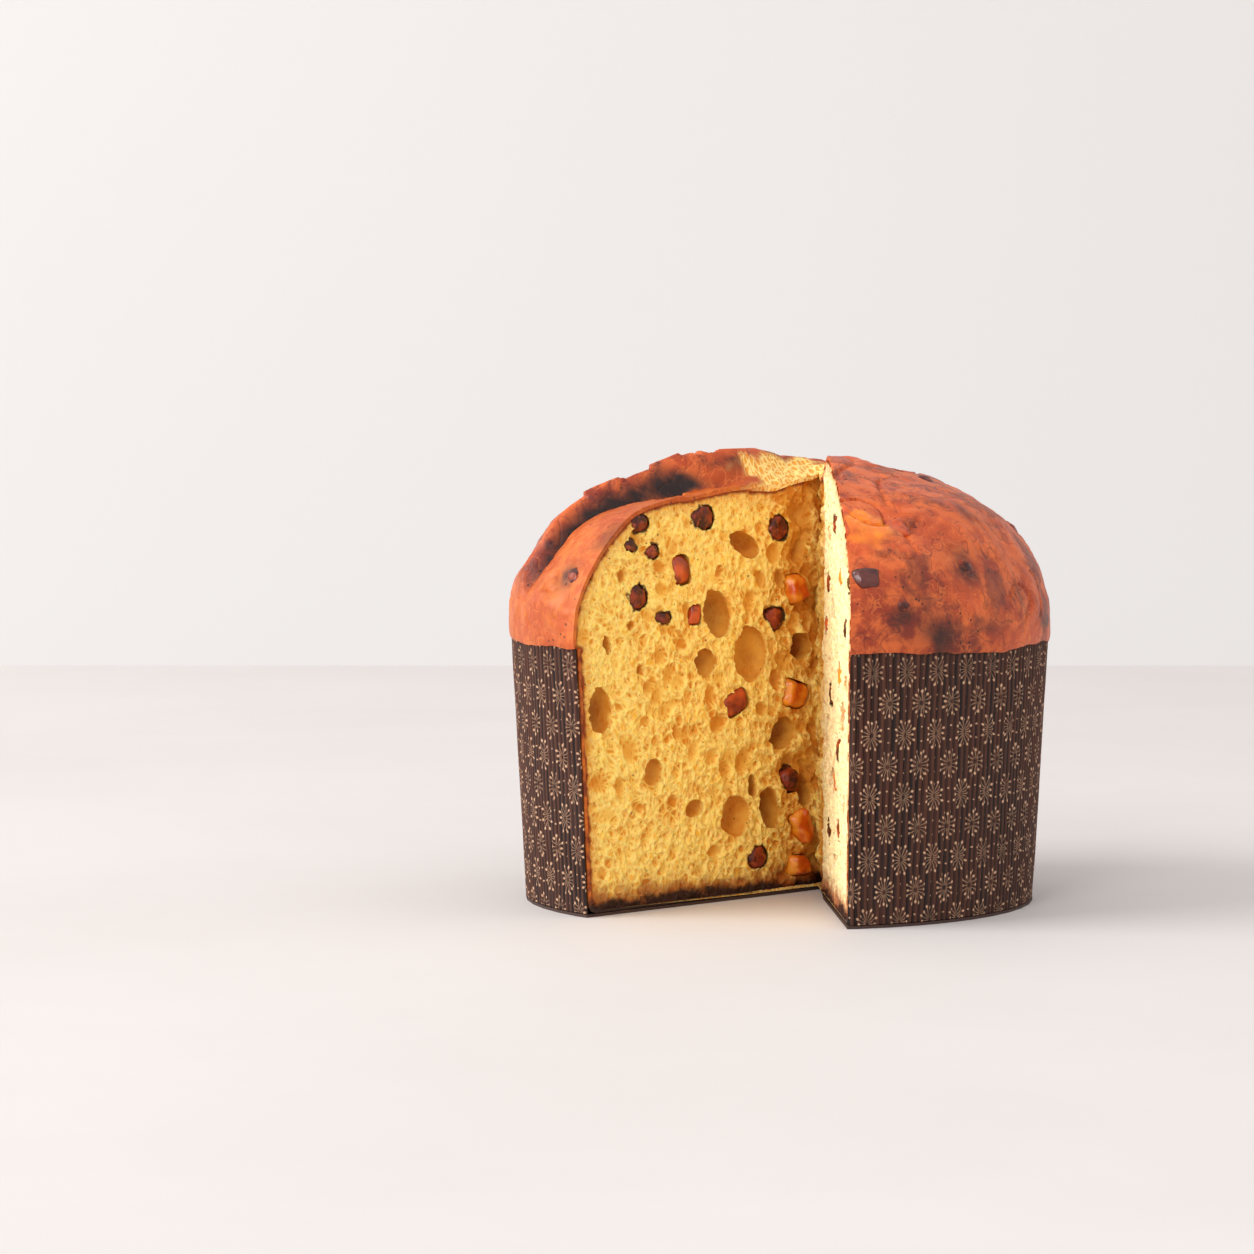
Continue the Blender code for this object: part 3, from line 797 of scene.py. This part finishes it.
def paper_finish():
    """Dark brown baking paper with a gilt print of starbursts and chains of dots, and a painted highlight
    on the flute crests.
    """
    finish = Finish("case_paper", Specular_IOR_Level=0.3)
    x, y, z = (finish.axis(number) for number in range(3))
    bearing = finish.maths("ARCTAN2", y - AXIS.y, x)
    wobble = finish.noise(150.0, 2.0) - 0.5
    column = bearing * (MOTIFS_ROUND / math.tau) + wobble * 0.10 + 40.0
    row = z / ROW + wobble * 0.10 + 0.35
    shifted = column + finish.maths("MODULO", finish.maths("FLOOR", row), 2.0) * 0.5
    pitch = math.tau * 92.5 / MOTIFS_ROUND
    across = (finish.maths("FRACT", shifted) - 0.5) * pitch
    up = (finish.maths("FRACT", row) - 0.5) * (ROW / MM)
    far = finish.maths("SQRT", across * across + up * up * 0.55)
    spin = finish.maths("ARCTAN2", up * 0.74, across) * (RAYS / math.tau)
    ray_number = finish.maths("ROUND", spin)
    off_ray = abs(spin - ray_number) * (math.tau / RAYS) * far
    length = 3.0 + finish.maths("MODULO", ray_number + 40.0, 2.0) * 0.65
    past = far - length
    ray = off_ray.below(0.09, 0.08) * far.over(0.7, 0.3) * past.below(0.0, 0.2)
    tip = finish.maths("SQRT", off_ray * off_ray + past * past * 0.6).below(0.30, 0.12)
    side = (finish.maths("FRACT", shifted + 0.5) - 0.5) * pitch
    gap = abs(up) - 2.4
    dots = finish.maths("SQRT", side * side + gap * gap).below(0.28, 0.12)
    worn = finish.noise(90.0, 2.0).over(0.40, 0.1) * (1.0 - 0.7 * (z / MM).over(84.0, 6.0))
    fold = finish.stretched(1.0, 1.0, 0.05).noise(380.0, 3.0)
    gilt = (ray * 0.5).most(tip).most(dots * 0.9) * (0.5 + 0.5 * worn)
    paper = fold.over(0.5, 0.16).mixed(linear(26, 11, 7), linear(59, 28, 17))
    # Painted highlight: the paper is lighter on the flute crests, as if lit
    crest_highlight = finish.attribute("crest_highlight")
    paper = (crest_highlight.over(0.35, 0.4) * 0.5).mixed(paper, linear(95, 53, 33))
    shine = finish.noise(600.0, 2.0).mixed(linear(176, 128, 98), linear(226, 186, 150))
    shade = gilt.mixed(paper, shine)
    return finish.wear(shade, 0.45 + 0.2 * fold, fold + gilt * 0.1, 0.2, 0.0008)


def raisin_finish():
    """Plumped raisin: near black with a wine-brown skin, painted highlights as lighter patches, and a soft
    uneven gloss.
    """
    finish = Finish("raisin", Coat_Weight=0.18, Coat_Roughness=0.2, Specular_IOR_Level=0.3)
    patch = finish.noise(230.0, 3.0)
    shade = patch.over(0.5, 0.12).mixed(linear(60, 17, 8), linear(142, 50, 20))
    # Painted highlight: lighter orange-brown patches on the skin
    shade = (finish.noise(420.0, 2.0).over(0.62, 0.08) * 0.5).mixed(shade, linear(190, 84, 34))
    return finish.wear(shade, 0.28 + 0.25 * patch, finish.noise(500.0, 3.0), 0.2, 0.0006)


def orange_finish(name, dark, light):
    """Candied fruit with a syrupy gloss, from a deep shade to the lighter one of thin parts."""
    finish = Finish(
        name, Coat_Weight=0.2, Coat_Roughness=0.15, Subsurface_Weight=0.2, Subsurface_Scale=0.003)
    patch = finish.noise(170.0, 3.0)
    shade = patch.over(0.5, 0.14).mixed(linear(*dark), linear(*light))
    return finish.wear(shade, 0.24 + 0.2 * patch, finish.noise(420.0, 2.0), 0.15, 0.0006)


def base_finish():
    finish = Finish("case_base_paper")
    grain = finish.noise(300.0, 3.0)
    shade = grain.mixed(linear(46, 26, 20), linear(74, 46, 36))
    return finish.wear(shade, 0.65 + 0.1 * grain, grain, 0.1, 0.0005)


# ---------------------------------------------------------------- building the panettone

def make_knife():
    """The removed wedge, with faces that sway by a hair, for trimming the crust and the paper."""
    reach = 150.0 * MM
    corner = APEX - (LEFT_WAY + RIGHT_WAY) * MM
    plan = (APEX + LEFT_WAY * reach, corner, APEX + RIGHT_WAY * reach)
    deselect()
    bpy.ops.mesh.primitive_circle_add(vertices=3, radius=1.0, fill_type="NGON")
    knife = bpy.context.object
    knife.name = "knife"
    for vertex, spot in zip(knife.data.vertices, plan):
        vertex.co = spot + Vector((0, 0, -10.0 * MM))
    bpy.ops.object.mode_set(mode="EDIT")
    bpy.ops.mesh.select_all(action="SELECT")
    bpy.ops.mesh.extrude_region_move(TRANSFORM_OT_translate={"value": (0, 0, 190.0 * MM)})
    bpy.ops.mesh.select_all(action="SELECT")
    bpy.ops.mesh.normals_make_consistent(inside=False)
    bpy.ops.object.mode_set(mode="OBJECT")
    return knife


def fluted_wall(knife):
    """The pleated paper wall, its flutes uneven and a little bent, with the wedge cut out."""
    low, high = FLOOR, CASE_HEIGHT + 0.6 * MM
    outline = [(RIM_RADIUS, high - (high - low) * k / WALL_ROWS) for k in range(WALL_ROWS + 1)]
    wall = spun("paper_wall", outline, FLUTES * STEPS_IN_A_FLUTE)
    points = points_of(wall)
    bearing = np.arctan2(points[:, 1], points[:, 0])
    share = (points[:, 2] - low) / (high - low)
    ring = np.column_stack((np.cos(bearing), np.sin(bearing), share * 0.35))
    shift = 0.9 * fuzz(ring, 4.0, 1) + 0.55 * fuzz(ring * (1, 1, 2.0), 14.0, 2)
    strength = 0.75 + 0.5 * fuzz(ring, 18.0, 3) + 0.25 * share
    wave = np.cos(bearing * FLUTES + shift * 2.0)
    wave = np.sign(wave) * np.abs(wave) ** 0.8
    middle = BASE_RADIUS + (RIM_RADIUS - BASE_RADIUS) * share - FLUTE_DEPTH / 2.0 - PAPER / 2.0
    slack = 0.25 * MM * fuzz(ring, 7.0, 5)
    radius = middle + wave * strength * FLUTE_DEPTH / 2.0 + slack
    points[:, 0] = np.cos(bearing) * radius
    points[:, 1] = np.sin(bearing) * radius + AXIS.y
    set_points(wall, points)
    # Stores each flute's crest, for the paper's painted highlight
    set_attribute(wall, "crest_highlight", wave * strength)
    apply_modifier(wall, "SOLIDIFY", thickness=PAPER, offset=0.0)
    carve(wall, knife)
    smooth(wall, 60.0)
    return wall


def domed(points, way, into):
    """Rounds off a piece where it was sliced flush with a cut face, so that only its middle shows."""
    behind = (points - np.array(APEX)) @ np.array(into) / MM
    sliced = points[(behind > -1.0) & (behind < 1.2)]
    if len(sliced) < 20:
        return points
    along, height = along_and_height(points, way)
    middle = along_and_height(sliced.mean(axis=0)[None], way)
    reach = np.hypot(np.ptp(sliced @ np.array(way)), np.ptp(sliced[:, 2])) / 2.0
    share = np.hypot(along - middle[0], height - middle[1]) / reach
    sink = 3.0 * clamp(share, 0.0, 1.1) ** 2.5 * (1.0 - eased(behind, 0.5, 5.0)) * (behind > -1.5)
    return points + np.array(into) * (sink * MM)[:, None]


def fine_fruit(node):
    """One piece of fruit, its CAD shape made fine and then wrinkled or softened."""
    seed = int(node[-2:])
    raisin = node.startswith("raisin")
    fruit = copy_node(node, node + "_fruit", 0.45 * MM, 0.0)
    points = points_of(fruit)
    if raisin:
        fold = 0.45 * (1.0 - 2.0 * np.abs(fuzz(points, 330.0, seed))) + 0.2 * fuzz(points, 800.0, seed)
    else:
        fold = 0.9 * fuzz(points, 170.0, seed) + 0.35 * fuzz(points, 420.0, seed)
    points = points + normals_of(fruit) * (fold * MM)[:, None]
    set_points(fruit, domed(domed(points, LEFT_WAY, INTO_LEFT), RIGHT_WAY, INTO_RIGHT))
    smooth(fruit, 80.0)
    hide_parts(node)
    return fruit


def dress(piece, material):
    piece.data.materials.clear()
    piece.data.materials.append(material)
    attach(piece, "root")


def mark_crust(crust):
    """Stores where the crust is charred, with painted shade added along the score and in the creases by
    the ear, where it is the pale sunken lobe and where it is bare.
    """
    points = points_of(crust)
    along, behind, score = score_place(points)
    fray = fuzz(points, 160.0, 17)
    level = points[:, 2] / MM
    low_end = (1.0 - eased(level, 106.0, 121.0)) * eased(along, 80.0, 95.0)
    open_score = clamp(0.75 + 2.2 * fuzz(points, 60.0, 21))
    open_score *= eased(along, 24.0, 40.0) * (1.0 - low_end)
    # Along the score and in the creases by the ear, char is part burnt crust and part painted shade of the
    # crevices
    char_and_crevice_shade = 1.3 * bump(behind, score - 0.2, 1.35) * open_score
    near_ear = bump(behind, score + 8.0, 9.0) * eased(along, 15.0, 30.0)
    crease = np.abs(fuzz(points, 70.0, 7))
    char_and_crevice_shade += np.exp(-(crease / 0.07) ** 2) * clamp(fuzz(points, 80.0, 9) * 3.0) * near_ear
    char_and_crevice_shade += clamp(fuzz(points, 34.0, 11) * 4.0 - 1.7) * 0.7 * (1.0 - near_ear)
    char_and_crevice_shade += bump(level, 97.0, 5.0) * clamp(fuzz(points, 45.0, 12) * 4.0 - 1.0) * (1.0 - low_end)
    for x, y, z, reach in SCORCHES:
        far = np.linalg.norm(points / MM - (x, y + AXIS.y / MM, z), axis=1)
        char_and_crevice_shade += 0.95 * np.exp(-(far / reach) ** 2) * clamp(0.8 + 1.5 * fuzz(points, 110.0, 25))
    lobe = (1.0 - eased(behind, score - 1.0, score + 1.0)) * eased(behind, -8.0, -3.0)
    lobe = np.maximum(lobe * eased(along, -14.0, -6.0), low_end * (1.0 - eased(behind, 62.0, 80.0)))
    frayed = along + 8.0 * fray
    bare = (1.0 - eased(frayed, 26.0, 34.0)) * (1.0 - eased(behind + 2.0 * fray, score, score + 1.5))
    bare *= eased(behind + 1.5 * fray, -4.5, -3.5) * eased(frayed, -12.0, -8.0)
    set_attribute(crust, "char_and_crevice_shade", clamp(char_and_crevice_shade) * (1.0 - bare))
    set_attribute(crust, "pale", lobe)
    set_attribute(crust, "bare", bare)
    away = points / MM - (27.0, -71.0 + AXIS.y / MM, 132.0)
    far = np.linalg.norm(away / (9.5, 9.5, 13.0), axis=1) + 0.4 * fray
    set_attribute(crust, "glaze", 1.0 - eased(far, 0.75, 1.1))


def tree_of(thing):
    return BVHTree.FromObject(thing, bpy.context.evaluated_depsgraph_get())


def build():
    knife = make_knife()
    core = loaf_body("core", CRUST, 2.0 * MM, 260, False)
    core_tree = tree_of(core)
    nodes = [node for node in sorted(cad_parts) if node.startswith(FRUIT)]
    fruit = {node: fine_fruit(node) for node in nodes}
    raisins = join([copy_of(fruit[node]) for node in nodes if node.startswith("raisin")])
    raisin_tree = tree_of(raisins)
    remove(raisins)

    # The right face gets a copy of the crumb made paler by painted light
    crumbs = (crumb_finish("crumb", 0.0), crumb_finish("crumb_painted_light", 0.62))
    left = crumb_slab(
        "crumb_left", LEFT_WAY, INTO_LEFT, LEFT_LENGTH, LEFT_CAVES, LEFT_BOWLS, LEFT_SEED, core)
    right = crumb_slab(
        "crumb_right", RIGHT_WAY, INTO_RIGHT, RIGHT_LENGTH, RIGHT_CAVES, (), RIGHT_SEED, core)
    for slab, into, crumb in ((left, INTO_LEFT, crumbs[0]), (right, INTO_RIGHT, crumbs[1])):
        mark_crumb(slab, into, core_tree, raisin_tree)
        smooth(slab, 50.0)
        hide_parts("bread")
        dress(slab, crumb)

    crust = loaf_body("crust", 0.0, 1.0 * MM, 620, True)
    carve(crust, core)
    carve(crust, knife)
    mark_crust(crust)
    smooth(crust, 50.0)
    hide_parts("bread")
    dress(crust, crust_finish())
    remove(core)

    wall = fluted_wall(knife)
    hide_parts("case_wall")
    dress(wall, paper_finish())
    remove(knife)

    raisin = raisin_finish()
    amber = orange_finish("candied_orange", (206, 84, 8), (240, 150, 34))
    ruby = orange_finish("candied_cherry", (124, 34, 10), (200, 80, 26))
    brown = orange_finish("browned_cube", (58, 14, 10), (92, 30, 20))
    for node, piece in fruit.items():
        if node.startswith("raisin"):
            dress(piece, raisin)
        elif node == BROWNED_CUBE:
            dress(piece, brown)
        else:
            dress(piece, ruby if int(node[-2:]) in RED_PIECES else amber)

    base = bpy.data.objects["case_base"]
    base.data.materials.clear()
    base.data.materials.append(base_finish())


# ---------------------------------------------------------------- studio

def make_studio():
    table = Finish("table", Roughness=0.75)
    mottle = table.noise(3.0, 5.0, 0.6)
    table.wear(mottle.over(0.5, 0.3).mixed(linear(207, 200, 197), linear(213, 207, 204)))
    deselect()
    bpy.ops.mesh.primitive_plane_add(size=1.0, location=(0.0, -0.41, 0.0))
    floor = bpy.context.object
    floor.name = "table_top"
    floor.scale = (6.0, 3.0, 1.0)
    settle(floor)
    floor.data.materials.append(table.material)
    wall_paint = Finish("backdrop_paint", Roughness=0.9)
    wall_paint.wear(wall_paint.noise(1.2, 2.0).mixed(linear(209, 205, 203), linear(213, 209, 207)))
    upright = (math.radians(90.0), 0.0, 0.0)
    bpy.ops.mesh.primitive_plane_add(size=1.0, location=(0.0, 1.9, 0.8), rotation=upright)
    backdrop = bpy.context.object
    backdrop.name = "backdrop"
    backdrop.scale = (9.0, 5.0, 1.0)
    settle(backdrop)
    backdrop.data.materials.append(wall_paint.material)


def add_lamp(name, place, size, power):
    data = bpy.data.lights.new(name, "AREA")
    data.energy = power
    data.size = size
    data.color = (1.0, 1.0, 1.0)
    lamp = add_object(name, data)
    lamp.location = place
    lamp.rotation_euler = (LAMP_AIM - Vector(place)).to_track_quat("-Z", "Y").to_euler()


def light_studio():
    world = bpy.data.worlds.new("studio")
    bpy.context.scene.world = world
    world.use_nodes = True
    background = world.node_tree.nodes["Background"]
    background.inputs["Color"].default_value = (1.0, 1.0, 1.0, 1.0)
    background.inputs["Strength"].default_value = 0.93
    add_lamp("key", (-3.1, -0.7, 1.7), 2.2, 107.0)
    add_lamp("front", (-1.5, -3.6, 2.1), 1.2, 44.0)


def place_camera():
    """A long lens in front of the loaf and a little above it, framed well off centre."""
    data = bpy.data.cameras.new("camera")
    data.lens = 121.7
    data.sensor_width = 36.0
    camera = add_object("camera", data)
    camera.location = (-54.0 * MM, AXIS.y - 1.5, 195.0 * MM)
    camera.rotation_euler = (math.radians(90.0 - CAMERA_DOWN), 0.0, 0.0)
    bpy.context.scene.camera = camera


build()
make_studio()
light_studio()
place_camera()
bpy.context.scene.view_settings.view_transform = "Standard"
